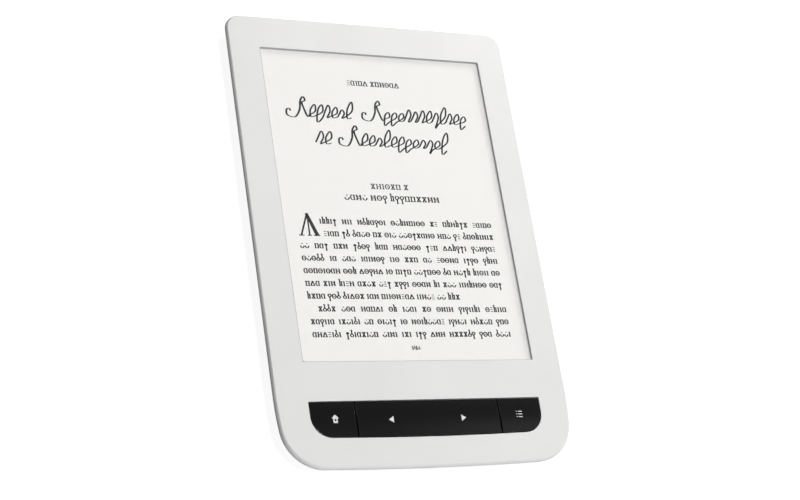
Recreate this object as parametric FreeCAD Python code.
import FreeCAD, Part
import os
from math import asin, atan2, cos, pi, radians, sin, sqrt

# A slim six-inch e-reader that lies on its back. Millimetres. +X is the reader's right hand, +Y points to the
# top of the page, +Z comes out of the screen. The origin is the middle of the flat back.

# ---- driving dimensions: the case --------------------------------------------------------------------------
WIDTH = 114.6
LENGTH = 174.4
THICKNESS = 8.3
TOP_CORNER_R = 6.0
BOTTOM_CORNER_R = 15.5
FLANK_R = 110.0               # the long sides turn in gently before the bottom corners
FLANK_TURN = radians(6.5)
BOTTOM_BOW_R = 1400.0         # the bottom edge bows outward very slightly
WALL = 1.2
WIDEST_Z = 7.0                # height of the case's widest line
FACE_INSET = 0.75             # the face is this much smaller than the widest line, all round
FACE_ROUND = 1.25             # height of the rounding between the face and the case's side
FACE_ROUND_POWER = 1.25       # 1 is a quarter of an ellipse, and more is nearer to a chamfer
SPLIT_Z = 6.6                 # lower edge of the front bezel
SPLIT_GAP = 0.1
EDGE_R = 1.5                  # small arc below the widest line
EDGE_TURN = radians(35)       # where it passes into the long arc that runs to the flat back
BACK_R = (WIDEST_Z - EDGE_R * sin(EDGE_TURN)) / (1 - sin(EDGE_TURN))
TOP_SHARE = 0.6               # the top and bottom edges draw in less than the long sides do
BOTTOM_SHARE = 0.45
PLATE = 0.95                  # thickness of the bezel's face
PLATE_Z = THICKNESS - PLATE

# ---- the window and the keys -------------------------------------------------------------------------------
WINDOW_LEFT, WINDOW_RIGHT = -45.0, 45.6
WINDOW_LOW, WINDOW_HIGH = -48.3, 74.0
WINDOW_R = 0.8
KEYS_HALF = 45.2              # opening for the row of keys
KEYS_TOP, KEYS_BOTTOM = -62.75, -76.35
KEYS_CORNER_R = 7.6
KEYS_TOP_R = 0.4
KEY_CLEARANCE = 0.15
KEY_SPLIT_X = 28.05           # the two gaps between the three keys
KEY_GAP = 0.5
KEY_CROWN_R = 88.0            # the keys' tops are part of a long cylinder along X
KEY_FLOOR_Z = 6.7
KEY_FLANGE = 0.7
KEY_Y = -69.4
HOME_X, MENU_X, PAGE_X = -36.05, 36.05, 15.0
PIVOT_Z = 5.75
PIVOT_R = 0.5
RUNNING = 0.03                # radial clearance of running fits

# ---- the layers under the window, from the front down ------------------------------------------------------
GASKET = 0.1
TOUCH = 0.25
GUIDE = 0.35
FILM = 0.2
BACKPLANE = 0.6
DISPLAY_TAPE = 0.25
CHASSIS = 0.8
TOUCH_TOP = PLATE_Z - GASKET
GUIDE_TOP = TOUCH_TOP - TOUCH
FILM_TOP = GUIDE_TOP - GUIDE
BACKPLANE_TOP = FILM_TOP - FILM
TAPE_TOP = BACKPLANE_TOP - BACKPLANE
CHASSIS_TOP = TAPE_TOP - DISPLAY_TAPE
CHASSIS_LOW = CHASSIS_TOP - CHASSIS
PANEL_HALF = 50.9
PANEL_LOW, PANEL_HIGH = -59.4, 79.0
FLEX = 0.12
FLEX_WRAP_Y = -60.4
CONNECTOR_TOP = 4.4

# ---- the boards and the battery ----------------------------------------------------------------------------
BOARD_TOP = 3.6
BOARD = 0.8
BOARD_LOW = BOARD_TOP - BOARD
BOARD_HALF = 38.0
BOARD_BOTTOM, BOARD_HEAD = -82.5, -16.5
BRACKET = 0.6
BRACKET_TOP = 4.8
KEY_BOARD = 0.6
SWITCH = 0.55
SWITCH_TOP = BRACKET_TOP + KEY_BOARD + SWITCH
DOME = 0.12
WEB = 0.15
STEM_LOW = 6.4                 # lower end of the keys' stems
STEM_R = 1.3
BATTERY_HALF = 31.0
BATTERY_LOW, BATTERY_HIGH = -10.0, 70.0
BATTERY_TOP = 4.6
BATTERY = 3.0
SCREW_R = 0.7
SCREW_HEAD_R = 1.15
SCREW_HEAD = 0.6
BOSS_R = 1.2
SIDE_BOSS_X = 52.2
CHASSIS_SCREWS = [(-45, 82), (0, 82), (45, 82)] + [(s * SIDE_BOSS_X, y) for s in (-1, 1) for y in (-55, 15)]
BRACKET_SCREWS = [(-48.5, -69), (48.5, -69)]
BOARD_SCREWS = [(s * 33, y) for s in (-1, 1) for y in (-57, -21)]
SNAP_Y = (-35, -8, 36, 66)
SNAP_LENGTH = 8.0

# ---- the interfaces on the bottom edge ---------------------------------------------------------------------
USB_X, USB_Z = 0.0, 2.6
USB_WIDTH, USB_HEIGHT, USB_DEPTH = 7.4, 2.45, 5.4
USB_FRONT_Y = -83.9
CARD_X, CARD_Z = -22.0, 2.05
CARD_WIDTH, CARD_SLOT = 11.6, 1.1
RESET_X, RESET_Z, RESET_R = 12.0, 2.6, 0.5
BUTTON_X, BUTTON_Z = 26.0, 3.4
BUTTON_LENGTH, BUTTON_HEIGHT = 9.0, 1.8
BUTTON_PROUD = 0.2            # how far the power button stands out of the case


# ---- small helpers -----------------------------------------------------------------------------------------
def vec(x, y, z):
    return FreeCAD.Vector(x, y, z)


def box(x0, x1, y0, y1, z0, z1):
    return Part.makeBox(x1 - x0, y1 - y0, z1 - z0, vec(x0, y0, z0))


def post(x, y, z0, z1, r):
    return Part.makeCylinder(r, z1 - z0, vec(x, y, z0))


def pin_y(x, z, y0, y1, r):
    return Part.makeCylinder(r, y1 - y0, vec(x, y0, z), vec(0, 1, 0))


def fuse(shapes):
    body = shapes[0]
    for shape in shapes[1:]:
        body = body.fuse(shape)
    return body.removeSplitter()


def cut(shape, tools):
    for tool in tools:
        shape = shape.cut(tool)
    return shape


def arc(cx, cy, r, a0, a1, z):
    """Arc about (cx, cy) at height z, from angle a0 to angle a1."""
    points = [vec(cx + r * cos(a), cy + r * sin(a), z) for a in (a0, (a0 + a1) / 2, a1)]
    return Part.Arc(*points).toShape()


def prism(wire, z1):
    """Solid straight up from a flat wire to height z1."""
    rise = z1 - wire.BoundBox.ZMin
    return Part.Face(wire).extrude(vec(0, 0, rise))


def tub(half, y_top, y_bottom, top_r, corner_r, z, flank_r=FLANK_R, turn=FLANK_TURN):
    """Outline with small top corners, large bottom corners and a slightly bowed bottom edge, all tangent."""
    cx = half - flank_r + (flank_r - corner_r) * cos(turn)
    bow_y = y_bottom + BOTTOM_BOW_R
    cy = bow_y - sqrt((BOTTOM_BOW_R - corner_r) ** 2 - cx ** 2)
    start_y = cy + (flank_r - corner_r) * sin(turn)
    low = atan2(cy - bow_y, cx)
    top_y = y_top - top_r
    edges = [
        Part.makeLine(vec(-half + top_r, y_top, z), vec(half - top_r, y_top, z)),
        arc(half - top_r, top_y, top_r, pi / 2, 0, z),
        Part.makeLine(vec(half, top_y, z), vec(half, start_y, z)),
        arc(half - flank_r, start_y, flank_r, 0, -turn, z),
        arc(cx, cy, corner_r, -turn, low, z),
        arc(0, bow_y, BOTTOM_BOW_R, low, -pi - low, z),
        arc(-cx, cy, corner_r, -pi - low, -pi + turn, z),
        arc(-half + flank_r, start_y, flank_r, -pi + turn, -pi, z),
        Part.makeLine(vec(-half, start_y, z), vec(-half, top_y, z)),
        arc(-half + top_r, top_y, top_r, pi, pi / 2, z),
    ]
    return Part.Wire(edges)


def case_outline(z, side, top=None, bottom=None):
    """The case's outline at height z, drawn in by side on the long sides, and by top and bottom at its ends."""
    top = side if top is None else top
    bottom = side if bottom is None else bottom
    top_r = TOP_CORNER_R + 0.3 * max(side - 2, 0) - min(side, 2)
    corner_r = BOTTOM_CORNER_R - 0.35 * side
    return tub(WIDTH / 2 - side, LENGTH / 2 - top, -LENGTH / 2 + bottom, top_r, corner_r, z)


def ring(z0, z1, outer, inner):
    """Wall that follows the case's outline, between two distances in from it."""
    return prism(case_outline(z0, outer), z1).cut(prism(case_outline(z0, inner), z1))


def window_box(grow, z0, z1):
    """Rounded block the size of the window, grown all round."""
    block = box(WINDOW_LEFT - grow, WINDOW_RIGHT + grow, WINDOW_LOW - grow, WINDOW_HIGH + grow, z0, z1)
    return block.makeFillet(WINDOW_R + max(grow, 0), upright_edges(block))


def upright_edges(shape):
    return [e for e in shape.Edges if abs(e.Vertexes[0].X - e.Vertexes[-1].X) < 1e-6
            and abs(e.Vertexes[0].Y - e.Vertexes[-1].Y) < 1e-6 and len(e.Vertexes) == 2]


def keys_block(grow, z0, z1):
    """Block the shape of the opening for the keys, grown all round."""
    wire = tub(KEYS_HALF + grow, KEYS_TOP + grow, KEYS_BOTTOM - grow, KEYS_TOP_R, KEYS_CORNER_R + grow, z0,
               flank_r=60.0, turn=radians(1.5))
    return prism(wire, z1)


# ---- the case ----------------------------------------------------------------------------------------------
def side_profile(tangent):
    """Height and inset of the case's side where its slope from the vertical is tangent, below the widest line."""
    if tangent <= EDGE_TURN:
        return WIDEST_Z - EDGE_R * sin(tangent), EDGE_R * (1 - cos(tangent))
    drop = EDGE_R * sin(EDGE_TURN) + BACK_R * (sin(tangent) - sin(EDGE_TURN))
    inset = EDGE_R * (1 - cos(EDGE_TURN)) + BACK_R * (cos(EDGE_TURN) - cos(tangent))
    return WIDEST_Z - drop, inset


def cover_section(tangent, wall):
    """One outline of the rear cover's surface, or of its inside when wall is its thickness."""
    z, inset = side_profile(tangent)
    shift = wall * cos(tangent)
    return case_outline(z + wall * sin(tangent), inset + shift, TOP_SHARE * inset + shift,
                        BOTTOM_SHARE * inset + shift)


def cover_block(wall):
    """Solid inside the rear cover's outer surface, or its inner one when wall is its thickness."""
    start = asin((WIDEST_Z - SPLIT_Z + SPLIT_GAP) / EDGE_R)
    steps = 8
    tangents = [start + (pi / 2 - start) * i / steps for i in range(steps + 1)]
    return Part.makeLoft([cover_section(t, wall) for t in tangents], True, False)


def snap_ledges():
    """Ledges on the cover's inner walls, which the bezel's hooks catch under."""
    x0, x1 = WIDTH / 2 - 3.0, WIDTH / 2 - 2.0
    half = SNAP_LENGTH / 2 + 1
    return [box(min(s * x0, s * x1), max(s * x0, s * x1), y - half, y + half, 5.95, 6.5)
            for s in (-1, 1) for y in SNAP_Y]


def snap_hooks():
    """Hooks that hang from the bezel and catch under the cover's ledges."""
    hooks = []
    for s in (-1, 1):
        for y in SNAP_Y:
            for inner, outer, z0, z1 in ((3.7, 3.1, 5.45, PLATE_Z), (3.7, 2.7, 5.45, 5.9)):
                x0, x1 = sorted((s * (WIDTH / 2 - inner), s * (WIDTH / 2 - outer)))
                hooks.append(box(x0, x1, y - SNAP_LENGTH / 2, y + SNAP_LENGTH / 2, z0, z1))
    return hooks


def usb_mouth(y0, y1, grow):
    """Rounded slot along Y, the outline of the USB socket's shell grown by grow."""
    half = USB_WIDTH / 2 + grow
    slot = box(USB_X - half, USB_X + half, y0, y1, USB_Z - USB_HEIGHT / 2 - grow, USB_Z + USB_HEIGHT / 2 + grow)
    edges = [e for e in slot.Edges if abs(e.Vertexes[0].Y - e.Vertexes[-1].Y) > 1]
    return slot.makeFillet(0.7, edges)


def button_block(y0, y1, grow):
    """Capsule along X, the power button's outline grown by grow."""
    r = BUTTON_HEIGHT / 2 + grow
    reach = BUTTON_LENGTH / 2 - BUTTON_HEIGHT / 2
    middle = box(BUTTON_X - reach, BUTTON_X + reach, y0, y1, BUTTON_Z - r, BUTTON_Z + r)
    ends = [pin_y(BUTTON_X + s * reach, BUTTON_Z, y0, y1, r) for s in (-1, 1)]
    return fuse([middle] + ends)


def rear_cover():
    shell = cover_block(0).cut(cover_block(WALL))
    seat_low = 5.6
    seat = ring(seat_low, SPLIT_Z - SPLIT_GAP, 1.2, 2.2)
    lip = ring(SPLIT_Z - SPLIT_GAP, PLATE_Z - 0.4, 1.45, 2.2)
    posts = [post(s * 33.5, -79, WALL - 0.2, BOARD_LOW, 1.5) for s in (-1, 1)]
    rib_x, rib_y0, rib_y1 = BATTERY_HALF + 1.2, BATTERY_LOW - 5.0, BATTERY_HIGH + 1.2
    frame = box(-rib_x - 0.8, rib_x + 0.8, rib_y0 - 0.8, rib_y1 + 0.8, WALL - 0.2, 2.4)
    frame = frame.cut(box(-rib_x, rib_x, rib_y0, rib_y1, 0.5, 3))
    body = fuse([shell, seat, lip] + posts + [frame] + snap_ledges())
    y0, y1 = -LENGTH / 2 - 1, -LENGTH / 2 + 6
    tools = [
        usb_mouth(y0, y1, 0.25),
        box(CARD_X - CARD_WIDTH / 2, CARD_X + CARD_WIDTH / 2, y0, y1, CARD_Z - CARD_SLOT / 2,
            CARD_Z + CARD_SLOT / 2),
        pin_y(RESET_X, RESET_Z, y0, y1, RESET_R),
        button_block(y0, y1, 0.12),
    ]
    return cut(body, tools)


def bezel_block():
    """Outer shape of the bezel: a short skirt, and a rounded edge that ends flat at the face."""
    lower = [asin((WIDEST_Z - SPLIT_Z) / EDGE_R), radians(8)]
    sections = []
    for tangent in lower:
        z, inset = side_profile(tangent)
        sections.append(case_outline(z, inset, TOP_SHARE * inset, BOTTOM_SHARE * inset))
    shoulder = THICKNESS - FACE_ROUND
    sections += [case_outline(z, 0) for z in (WIDEST_Z, (WIDEST_Z + shoulder) / 2)]
    for degrees in (0, 15, 30, 45, 60, 75, 90):
        rise = sin(radians(degrees)) ** FACE_ROUND_POWER
        left = sin(radians(90 - degrees)) ** FACE_ROUND_POWER
        sections.append(case_outline(shoulder + FACE_ROUND * rise, FACE_INSET * (1 - left)))
    return Part.makeLoft(sections, True, False)


def front_bezel():
    pocket = prism(case_outline(SPLIT_Z - 0.5, WALL), PLATE_Z)
    body = bezel_block().cut(pocket)
    bosses = [post(x, y, CHASSIS_TOP, PLATE_Z + 0.2, BOSS_R) for x, y in CHASSIS_SCREWS]
    bosses += [post(x, y, BRACKET_TOP, PLATE_Z + 0.2, BOSS_R) for x, y in BRACKET_SCREWS]
    body = fuse([body] + bosses + snap_hooks())
    holes = [post(x, y, CHASSIS_TOP - 1, PLATE_Z - 0.2, SCREW_R + RUNNING) for x, y in CHASSIS_SCREWS]
    holes += [post(x, y, BRACKET_TOP - 1, PLATE_Z - 0.2, SCREW_R + RUNNING) for x, y in BRACKET_SCREWS]
    openings = [window_box(0, PLATE_Z - 1, THICKNESS + 1), keys_block(0, PLATE_Z - 1, THICKNESS + 1)]
    body = cut(body, holes + openings)
    rim = [e for e in body.Edges if min(v.Z for v in e.Vertexes) > THICKNESS - 0.01
           and abs(e.CenterOfMass.x) < WINDOW_RIGHT + 0.1 and e.CenterOfMass.y < WINDOW_HIGH + 0.1
           and e.CenterOfMass.y > KEYS_BOTTOM - 0.6]
    return body.makeFillet(0.15, rim)


# ---- the keys ----------------------------------------------------------------------------------------------
def key_body(x0, x1):
    """Part of the row of keys between x0 and x1, with a crowned top."""
    body = keys_block(-KEY_CLEARANCE, KEY_FLOOR_Z, THICKNESS).common(
        box(x0, x1, KEYS_BOTTOM - 5, KEYS_TOP + 5, 0, THICKNESS + 1))
    crown = Part.makeCylinder(KEY_CROWN_R, WIDTH, vec(-WIDTH / 2, KEY_Y, THICKNESS - KEY_CROWN_R), vec(1, 0, 0))
    body = body.common(crown)
    edges = [e for e in body.Edges if min(v.Z for v in e.Vertexes) > THICKNESS - 0.8]
    return body.makeFillet(0.2, edges)


def key_flange(x0, x1, z0, z1):
    """Rim under the bezel's face that keeps a key from falling out."""
    rim = keys_block(KEY_FLANGE, z0, z1)
    return rim.common(box(x0, x1, KEYS_BOTTOM - 5, KEYS_TOP + 5, 0, THICKNESS))


def end_key(sign, stem_x):
    inner = KEY_SPLIT_X + KEY_GAP / 2
    outer = KEYS_HALF + 5
    x0, x1 = sorted((sign * inner, sign * outer))
    flange = key_flange(x0, x1, KEY_FLOOR_Z, PLATE_Z - 0.05)
    return fuse([key_body(x0, x1), flange, post(stem_x, KEY_Y, STEM_LOW, KEY_FLOOR_Z + 0.1, STEM_R)])


def home_key():
    return end_key(-1, HOME_X)


def menu_key():
    return end_key(1, MENU_X)


def page_rocker():
    end = KEY_SPLIT_X - KEY_GAP / 2
    flange = key_flange(-6, 6, KEY_FLOOR_Z, PLATE_Z - 0.25)
    stems = [post(s * PAGE_X, KEY_Y, STEM_LOW, KEY_FLOOR_Z + 0.1, STEM_R) for s in (-1, 1)]
    ribs = [box(-0.5, 0.5, y0, y1, PIVOT_Z, KEY_FLOOR_Z + 0.1) for y0, y1 in ((-75.3, -73.9), (-65.0, -63.6))]
    pins = [pin_y(0, PIVOT_Z, y0, y1, PIVOT_R) for y0, y1 in ((-76.9, -73.9), (-65.0, -62.2))]
    return fuse([key_body(-end, end), flange] + stems + ribs + pins)


def key_web():
    """Silicone sheet that lies on the switches and keeps dust out, open round the domes and the keys' stems."""
    web = box(-43, 43, -75.0, -63.9, SWITCH_TOP, SWITCH_TOP + WEB)
    openings = [post(x, KEY_Y, 5, 7, STEM_R + 0.15) for x in (HOME_X, -PAGE_X, PAGE_X, MENU_X)]
    notches = [box(-1.1, 1.1, y0, y1, 5, 7) for y0, y1 in ((-76, -73.6), (-65.3, -63))]
    corners = [box(s * 41 - 3, s * 41 + 3, -76, -72.6, 5, 7) for s in (-1, 1)]
    return cut(web, openings + notches + corners)


def key_board():
    board = box(-42, 42, -75.5, -63.5, BRACKET_TOP, BRACKET_TOP + KEY_BOARD)
    corners = [box(s * 41.5 - 2.5, s * 41.5 + 2.5, -76, -73.5, 4, 6) for s in (-1, 1)]
    notches = [box(-1.1, 1.1, y0, y1, 4, 6) for y0, y1 in ((-76, -73.6), (-65.3, -63))]
    return cut(board, corners + notches)


def key_switches():
    base = BRACKET_TOP + KEY_BOARD
    return [box(x - 2, x + 2, KEY_Y - 1.5, KEY_Y + 1.5, base, SWITCH_TOP)
            for x in (HOME_X, -PAGE_X, PAGE_X, MENU_X)]


def key_domes():
    """Steel snap domes, whose tops stand just under the stems of fully pressed keys."""
    return [Part.makeCone(1.2, 0.8, DOME, vec(x, KEY_Y, SWITCH_TOP)) for x in (HOME_X, -PAGE_X, PAGE_X, MENU_X)]


def key_bracket():
    """Steel plate that carries the key board, with two upturned ears for the page rocker's pivots."""
    low = BRACKET_TOP - BRACKET
    plate = box(-44, 44, -76.8, -62.2, low, BRACKET_TOP)
    corners = [box(s * 42.5 - 1.6, s * 42.5 + 1.6, -77, -73.4, 4, 6) for s in (-1, 1)]
    arms = [box(min(s * 43, s * 50.4), max(s * 43, s * 50.4), -71.2, -66.8, low, BRACKET_TOP) for s in (-1, 1)]
    ears = [box(-1.4, 1.4, y0, y1, low, 6.6) for y0, y1 in ((-76.6, -75.9), (-63.1, -62.4))]
    body = fuse([cut(plate, corners)] + arms + ears)
    holes = [post(x, y, 4, 6, SCREW_R + RUNNING) for x, y in BRACKET_SCREWS]
    return cut(body, holes + [pin_y(0, PIVOT_Z, -78, -60, PIVOT_R + RUNNING)])


# ---- the screen --------------------------------------------------------------------------------------------
def screen_gasket():
    return window_box(4.0, TOUCH_TOP, PLATE_Z).cut(window_box(0.6, TOUCH_TOP - 1, PLATE_Z + 1))


def panel_box(half, y0, y1, top, thick):
    return box(-half, half, y0, y1, top - thick, top)


def touch_panel():
    return panel_box(50.0, -54.5, 78.6, TOUCH_TOP, TOUCH)


def light_guide():
    return panel_box(49.5, -52.0, 78.0, GUIDE_TOP, GUIDE)


def eink_film():
    return panel_box(47.5, -50.5, 76.5, FILM_TOP, FILM)


def display_backplane():
    return panel_box(PANEL_HALF, PANEL_LOW, PANEL_HIGH, BACKPLANE_TOP, BACKPLANE)


def display_drivers():
    return [box(x - 8, x + 8, -58.2, -57.0, BACKPLANE_TOP, BACKPLANE_TOP + 0.3) for x in (-36, 36)]


def display_tape():
    outer = panel_box(50.0, -58.0, 78.0, TAPE_TOP, DISPLAY_TAPE)
    return outer.cut(box(-46, 46, -54, 74, 0, THICKNESS))


def frontlight_leds():
    return [box(x - 1.5, x + 1.5, -53.4, -52.1, FILM_TOP - 0.03, GUIDE_TOP - 0.02) for x in
            [-40 + 16 * i for i in range(6)]]


def bent_flex(x0, x1, y_start, z_top, y_end, z_low, y_wrap=FLEX_WRAP_Y):
    """Ribbon that runs to y_wrap, turns down round the display's lower edge and comes back underneath."""
    r = 0.3
    sign = 1 if y_start > y_wrap else -1
    runs = [(y_start, y_wrap + sign * r, z_top - FLEX, z_top), (y_wrap - sign * 0, y_wrap - sign * FLEX,
            z_low + FLEX + r, z_top - FLEX - r), (y_end, y_wrap + sign * r, z_low, z_low + FLEX)]
    parts = [box(x0, x1, min(a, b), max(a, b), z0, z1) for a, b, z0, z1 in runs]
    for z, below in ((z_top - FLEX - r, False), (z_low + FLEX + r, True)):
        bend = Part.makeCylinder(r + FLEX, x1 - x0, vec(x0, y_wrap + sign * r, z), vec(1, 0, 0))
        bend = bend.cut(Part.makeCylinder(r, x1 - x0, vec(x0, y_wrap + sign * r, z), vec(1, 0, 0)))
        y0, y1 = sorted((y_wrap + sign * r, y_wrap - sign * 1))
        parts.append(bend.common(box(x0, x1, y0, y1, z - 1 if below else z, z if below else z + 1)))
    return fuse(parts)


def display_flex():
    return bent_flex(-12, 12, -58.5, BACKPLANE_TOP + FLEX, -53.0, CONNECTOR_TOP)


def touch_flex():
    return bent_flex(-27, -20, -53.6, GUIDE_TOP, -53.0, CONNECTOR_TOP)


def frontlight_flex():
    strip = box(-43, 43, -56.0, -52.2, BACKPLANE_TOP + 0.05, BACKPLANE_TOP + 0.05 + FLEX)
    return fuse([strip, bent_flex(20, 26, -56.0, BACKPLANE_TOP + 0.05 + FLEX, -53.0, CONNECTOR_TOP)])


def chassis():
    """Cast plate that the display is bonded to, and that the boards and the battery hang from."""
    plate = box(-53, 53, -59.6, 84.2, CHASSIS_LOW, CHASSIS_TOP)
    plate = plate.makeFillet(5, [e for e in upright_edges(plate) if e.CenterOfMass.y > 0])
    ears = [post(x, y, CHASSIS_LOW, CHASSIS_TOP, 1.4) for x, y in CHASSIS_SCREWS if abs(x) > 50]
    standoffs = [post(x, y, BOARD_TOP, CHASSIS_LOW + 0.1, 1.7) for x, y in BOARD_SCREWS]
    rib = box(-33, 33, BATTERY_LOW - 5, BATTERY_HIGH + 2, 4.1, CHASSIS_LOW + 0.1)
    rib = rib.cut(box(-32.2, 32.2, BATTERY_LOW - 6, BATTERY_HIGH + 1.2, 4, CHASSIS_LOW))
    body = fuse([plate] + ears + standoffs + [rib])
    holes = [post(x, y, CHASSIS_LOW - 2, CHASSIS_TOP + 1, SCREW_R + RUNNING)
             for x, y in CHASSIS_SCREWS + BOARD_SCREWS]
    lightening = [box(x - 6, x + 6, y - 12, y + 12, 0, 9) for x in (-43, 43) for y in (-24, 50)]
    return cut(body, holes + lightening)


# ---- the boards --------------------------------------------------------------------------------------------
def main_board():
    board = box(-BOARD_HALF, BOARD_HALF, BOARD_BOTTOM, BOARD_HEAD, BOARD_LOW, BOARD_TOP)
    board = board.makeFillet(2, upright_edges(board))
    usb = box(USB_X - 4.2, USB_X + 4.2, BOARD_BOTTOM - 1, BOARD_BOTTOM + 4.2, 0, 5)
    holes = [post(x, y, 2, 4, SCREW_R + RUNNING) for x, y in BOARD_SCREWS]
    return cut(board, holes + [usb])


# chip: middle x, middle y, size along X, size along Y, height; they hang from the board's rear side
CHIPS = {
    "processor": (-8, -44, 13, 13, 0.95),
    "memory_chip": (8, -44, 9, 11, 0.85),
    "storage_chip": (22, -62, 11.5, 13, 1.0),
    "power_ic": (-25, -32, 7, 7, 0.85),
    "power_coil": (-25, -42, 5, 5, 1.3),
    "clock_crystal": (-8, -58, 3.2, 2.5, 0.7),
    "wifi_module": (26, -30, 12, 13, 1.25),
    "wifi_antenna": (26, -20.5, 8, 3, 1.0),
    "reset_switch": (RESET_X, -80.9, 3.4, 3.0, 1.25),
    "card_contacts": (CARD_X, -76.0, 11.6, 3.0, 0.35),
}
# connector: middle x, middle y, size along X, size along Y; they stand on the board's front side
CONNECTORS = {
    "display_connector": (0, -54.2, 26, 3.6),
    "touch_connector": (-23.5, -54.2, 9, 3.6),
    "frontlight_connector": (23, -54.2, 8, 3.6),
}


def chip(name):
    x, y, sx, sy, height = CHIPS[name]
    return box(x - sx / 2, x + sx / 2, y - sy / 2, y + sy / 2, BOARD_LOW - height, BOARD_LOW)


def connector(name):
    x, y, sx, sy = CONNECTORS[name]
    return box(x - sx / 2, x + sx / 2, y - sy / 2, y + sy / 2, BOARD_TOP, CONNECTOR_TOP)


def shield_can():
    """Pressed steel lid over the processor and its memory."""
    wall = 0.15
    lid = box(-17, 15, -53, -35, BOARD_LOW - 1.35, BOARD_LOW)
    return lid.cut(box(-17 + wall, 15 - wall, -53 + wall, -35 - wall, BOARD_LOW - 1.35 + wall, BOARD_LOW + 1))


def board_passives():
    """Small capacitors and resistors in short rows on the board's rear side."""
    rows = [(-32, -64, 5), (-16, -30, 6), (4, -28, 6), (-33, -52, 4), (14, -72, 4)]
    return [box(x + 2.2 * i, x + 2.2 * i + 1.2, y, y + 0.7, BOARD_LOW - 0.5, BOARD_LOW)
            for x, y, count in rows for i in range(count)]


def hall_sensor():
    return box(28.5, 31.5, -40, -38.4, BOARD_TOP, BOARD_TOP + 0.6)


def usb_socket():
    """Pressed shell with an open mouth and a closed back."""
    y0 = USB_FRONT_Y
    y1 = y0 + USB_DEPTH
    hollow = usb_mouth(y0 - 1, y1 - 0.3, -0.25)
    return usb_mouth(y0, y1, 0).cut(hollow)


def usb_tongue():
    y1 = USB_FRONT_Y + USB_DEPTH - 0.3
    return box(USB_X - 1.9, USB_X + 1.9, USB_FRONT_Y + 0.9, y1, USB_Z - 0.05, USB_Z + 0.6)


def card_socket():
    """Thin shell, open towards the slot, on the board's rear side."""
    shell = box(CARD_X - 7, CARD_X + 7, -81.4, -67.0, BOARD_LOW - 1.4, BOARD_LOW)
    hollow = box(CARD_X - 6.6, CARD_X + 6.6, -83, -67.4, BOARD_LOW - 1.2, BOARD_LOW + 1)
    return shell.cut(hollow)


def key_connector():
    return box(33, 37, -76.0, -73.4, BOARD_TOP, BOARD_TOP + 0.25)


def key_flex():
    return bent_flex(33.5, 36.5, -74.6, BRACKET_TOP + KEY_BOARD + FLEX, -74.0, BOARD_TOP + 0.25, -77.6)


# ---- power -------------------------------------------------------------------------------------------------
def battery_cell():
    cell = box(-BATTERY_HALF, BATTERY_HALF, BATTERY_LOW, BATTERY_HIGH, BATTERY_TOP - BATTERY, BATTERY_TOP)
    return cell.makeFillet(0.8, cell.Edges)


def battery_board():
    return box(-14, 14, BATTERY_LOW - 3.2, BATTERY_LOW, 3.5, 4.3)


def battery_lead():
    return [pin_y(9 + 1.2 * i, 3.98, -18.4, BATTERY_LOW - 3.2, 0.35) for i in range(3)]


def battery_plug():
    return box(7.8, 12.6, -21.0, -18.4, BOARD_TOP, 4.4)


def battery_socket():
    return box(7.0, 13.4, -24.0, -21.0, BOARD_TOP, 4.4)


def battery_tape():
    return box(-26, 26, BATTERY_LOW + 6, BATTERY_HIGH - 6, BATTERY_TOP, CHASSIS_LOW)


def battery_foam():
    return box(-24, 24, BATTERY_LOW + 8, BATTERY_HIGH - 8, WALL, BATTERY_TOP - BATTERY)


def power_button():
    """Capsule cap whose front follows the case, with a flange inside the case that bears on its switch."""
    cap = button_block(-LENGTH / 2 - 1, -83.5, 0).common(cover_block(-BUTTON_PROUD))
    front = [e for e in cap.Edges if max(v.Y for v in e.Vertexes) < -84.5]
    cap = cap.makeFillet(0.15, front)
    flange = box(BUTTON_X - 5.2, BUTTON_X + 5.2, -83.5, -83.0, BUTTON_Z - 0.7, BUTTON_Z + 0.9)
    return fuse([cap, flange])


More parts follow.
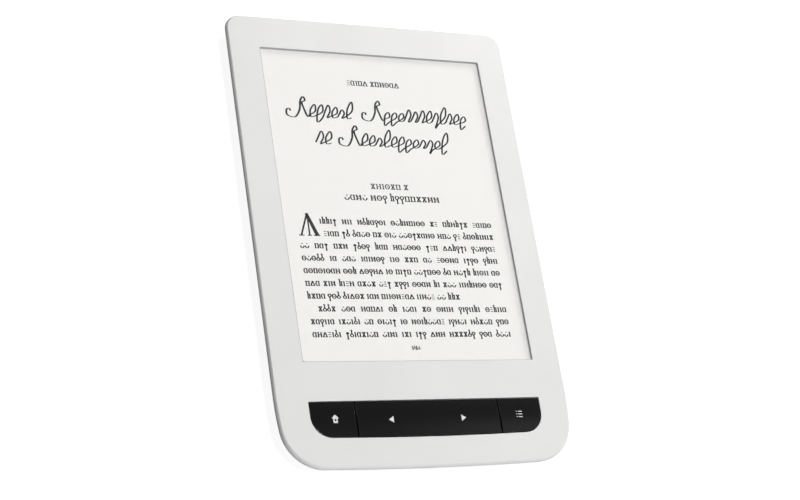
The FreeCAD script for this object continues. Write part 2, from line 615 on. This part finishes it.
def power_switch():
    """Side-acting switch on the board's edge, with a short plunger towards the button."""
    body = box(BUTTON_X - 2, BUTTON_X + 2, -82.4, -79.6, BOARD_TOP, BOARD_TOP + 1.1)
    return fuse([body, box(BUTTON_X - 0.9, BUTTON_X + 0.9, -82.6, -82.4, BOARD_TOP + 0.1, BOARD_TOP + 0.7)])


# ---- screws ------------------------------------------------------------------------------------------------
def screw(x, y, seat_z, length):
    """Pan-head screw driven upward, with a cross recess in its head."""
    head = post(x, y, seat_z - SCREW_HEAD, seat_z, SCREW_HEAD_R)
    slots = [box(x - a, x + a, y - b, y + b, seat_z - SCREW_HEAD - 1, seat_z - SCREW_HEAD + 0.3)
             for a, b in ((0.8, 0.16), (0.16, 0.8))]
    return cut(fuse([head, post(x, y, seat_z, seat_z + length, SCREW_R)]), slots)


def chassis_screws():
    return [screw(x, y, CHASSIS_LOW, 2.2) for x, y in CHASSIS_SCREWS]


def bracket_screws():
    return [screw(x, y, BRACKET_TOP - BRACKET, 2.6) for x, y in BRACKET_SCREWS]


def board_screws():
    return [screw(x, y, BOARD_LOW, 2.6) for x, y in BOARD_SCREWS]


# ---- writing the pieces ------------------------------------------------------------------------------------
PIECES = [
    front_bezel, rear_cover, home_key, page_rocker, menu_key, key_web, key_board, key_switches, key_domes,
    key_bracket, key_flex, key_connector, power_button, power_switch, screen_gasket, touch_panel, touch_flex,
    light_guide, frontlight_leds, frontlight_flex, eink_film, display_backplane, display_drivers, display_flex,
    display_tape, chassis, main_board, shield_can, board_passives, hall_sensor, usb_socket, usb_tongue,
    card_socket, battery_cell, battery_board, battery_lead, battery_plug, battery_socket, battery_tape,
    battery_foam, chassis_screws, bracket_screws, board_screws,
]


def write(name, shape):
    solids = shape if isinstance(shape, list) else [shape]
    for solid in solids:
        if not solid.isValid() or len(solid.Solids) != 1:
            print("CHECK", name, "valid", solid.isValid(), "solids", len(solid.Solids))
    whole = solids[0] if len(solids) == 1 else Part.makeCompound(solids)
    whole.exportStep("parts/" + name + ".step")


def main():
    os.makedirs("parts", exist_ok=True)
    for piece in PIECES:
        write(piece.__name__, piece())
    for name in CHIPS:
        write(name, chip(name))
    for name in CONNECTORS:
        write(name, connector(name))


main()
